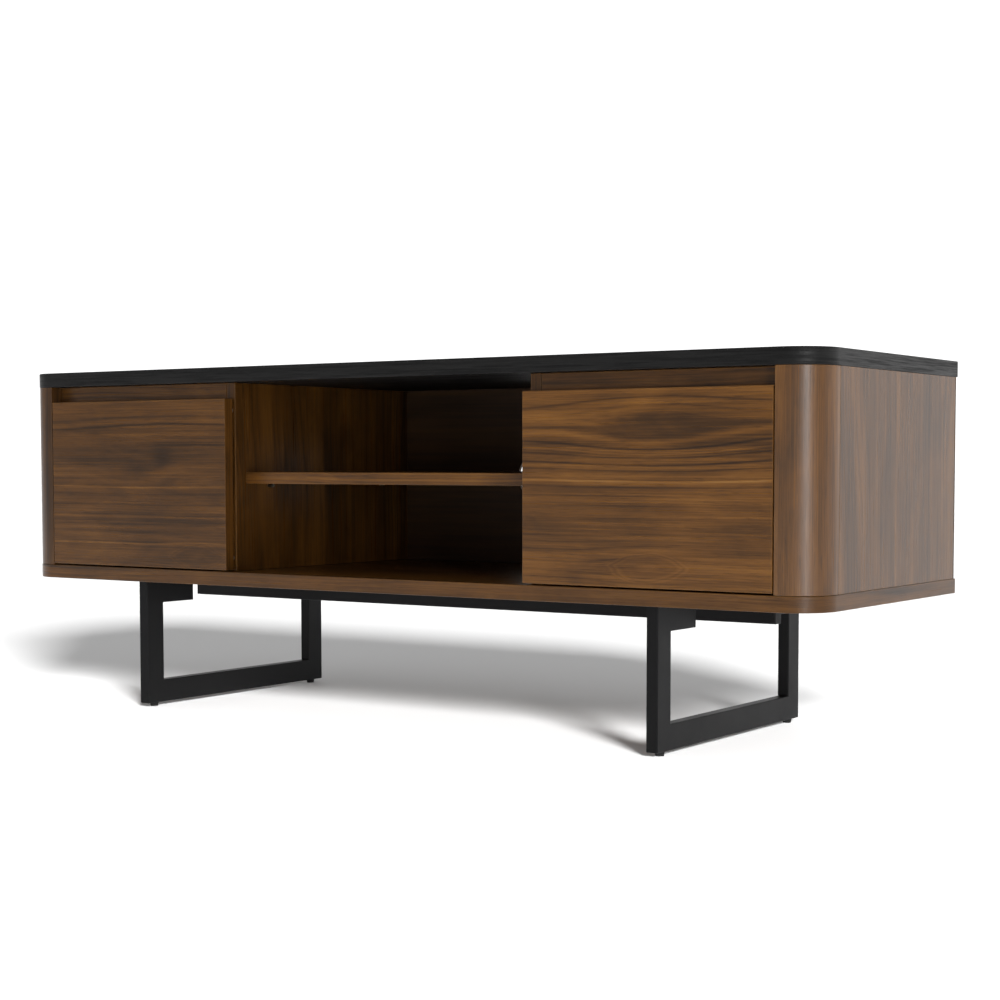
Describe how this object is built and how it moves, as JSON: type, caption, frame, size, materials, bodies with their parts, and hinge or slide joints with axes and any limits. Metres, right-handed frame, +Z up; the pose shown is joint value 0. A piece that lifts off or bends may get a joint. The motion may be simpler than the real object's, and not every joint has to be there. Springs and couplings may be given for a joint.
{
  "type": "tv stand with doors",
  "caption": "Long low media stand: walnut-finish case with rounded front corners, black top, open shelved centre bay between hinged cabinet doors, on black tube frames.",
  "frame": {"origin": "on the floor, under the middle of the stand", "axes": "+X along the stand to the right seen from the front, +Y to the back, +Z up; the doors face -Y"},
  "size_m": [1.2, 0.39, 0.45],
  "materials": {
    "walnut_long": "walnut veneer with the grain along the stand, satin lacquer",
    "walnut_upright": "walnut veneer with upright grain, satin lacquer",
    "batten_wood": "walnut-coloured board, matt",
    "black_board": "black wood-grain laminate, satin",
    "back_board": "thin fibreboard faced with walnut-print paper, matt",
    "black_steel": "black powder coat, fine texture",
    "black_bolt": "black zinc",
    "nickel_steel": "nickel-plated pressed steel",
    "black_plastic": "moulded, matt",
    "clear_rubber": "soft translucent bumper"
  },
  "bodies": {
    "stand": {"back_panel": "back_board", "bottom_panel": "walnut_long", "centre_beam": "black_steel", "centre_shelf": "walnut_long", "left_beam_bolt": "black_bolt", "left_beam_cap": "black_plastic", "left_corner_post": "walnut_upright", "left_divider": "walnut_upright", "left_door_bumper_lower": "clear_rubber", "left_door_bumper_upper": "clear_rubber", "left_front_arm_cap": "black_plastic", "left_front_foot": "black_plastic", "left_front_leg_bolt": "black_bolt", "left_front_rail": "walnut_long", "left_front_shelf_pin": "nickel_steel", "left_hinge_arm_lower": "nickel_steel", "left_hinge_arm_upper": "nickel_steel", "left_hinge_batten": "batten_wood", "left_hinge_plate_lower": "nickel_steel", "left_hinge_plate_upper": "nickel_steel", "left_leg_frame": "black_steel", "left_rear_arm_cap": "black_plastic", "left_rear_foot": "black_plastic", "left_rear_leg_bolt": "black_bolt", "left_rear_shelf_pin": "nickel_steel", "left_side_panel": "walnut_upright", "right_beam_bolt": "black_bolt", "right_beam_cap": "black_plastic", "right_corner_post": "walnut_upright", "right_divider": "walnut_upright", "right_door_bumper_lower": "clear_rubber", "right_door_bumper_upper": "clear_rubber", "right_front_arm_cap": "black_plastic", "right_front_foot": "black_plastic", "right_front_leg_bolt": "black_bolt", "right_front_rail": "walnut_long", "right_front_shelf_pin": "nickel_steel", "right_hinge_arm_lower": "nickel_steel", "right_hinge_arm_upper": "nickel_steel", "right_hinge_batten": "batten_wood", "right_hinge_plate_lower": "nickel_steel", "right_hinge_plate_upper": "nickel_steel", "right_leg_frame": "black_steel", "right_rear_arm_cap": "black_plastic", "right_rear_foot": "black_plastic", "right_rear_leg_bolt": "black_bolt", "right_rear_shelf_pin": "nickel_steel", "right_side_panel": "walnut_upright", "top_panel": "black_board"},
    "left_door": {"left_door": "walnut_long", "left_hinge_cup_lower": "nickel_steel", "left_hinge_cup_upper": "nickel_steel"},
    "right_door": {"right_door": "walnut_long", "right_hinge_cup_lower": "nickel_steel", "right_hinge_cup_upper": "nickel_steel"},
    "left_hinge_links": {"left_hinge_link_lower": "nickel_steel", "left_hinge_link_upper": "nickel_steel"},
    "right_hinge_links": {"right_hinge_link_lower": "nickel_steel", "right_hinge_link_upper": "nickel_steel"}
  },
  "joints": [
    {"name": "left_door_hinge", "type": "hinge", "parent": "stand", "child": "left_door", "pos_m": [-0.5465, -0.195, 0.3], "axis": [0, 0, -1], "range_deg": [0, 95]},
    {"name": "right_door_hinge", "type": "hinge", "parent": "stand", "child": "right_door", "pos_m": [0.5465, -0.195, 0.3], "axis": [0, 0, 1], "range_deg": [0, 95]},
    {"name": "left_hinge_link_pivot", "type": "hinge", "parent": "stand", "child": "left_hinge_links", "pos_m": [-0.5143, -0.1862, 0.3], "axis": [0, 0, -1], "range_deg": [-48, 1]},
    {"name": "right_hinge_link_pivot", "type": "hinge", "parent": "stand", "child": "right_hinge_links", "pos_m": [0.5143, -0.1862, 0.3], "axis": [0, 0, 1], "range_deg": [-48, 1]}
  ],
  "couplings": [
    {"joint": "left_hinge_link_pivot", "follows": "left_door_hinge", "ratio": -0.5},
    {"joint": "right_hinge_link_pivot", "follows": "right_door_hinge", "ratio": -0.5}
  ]
}
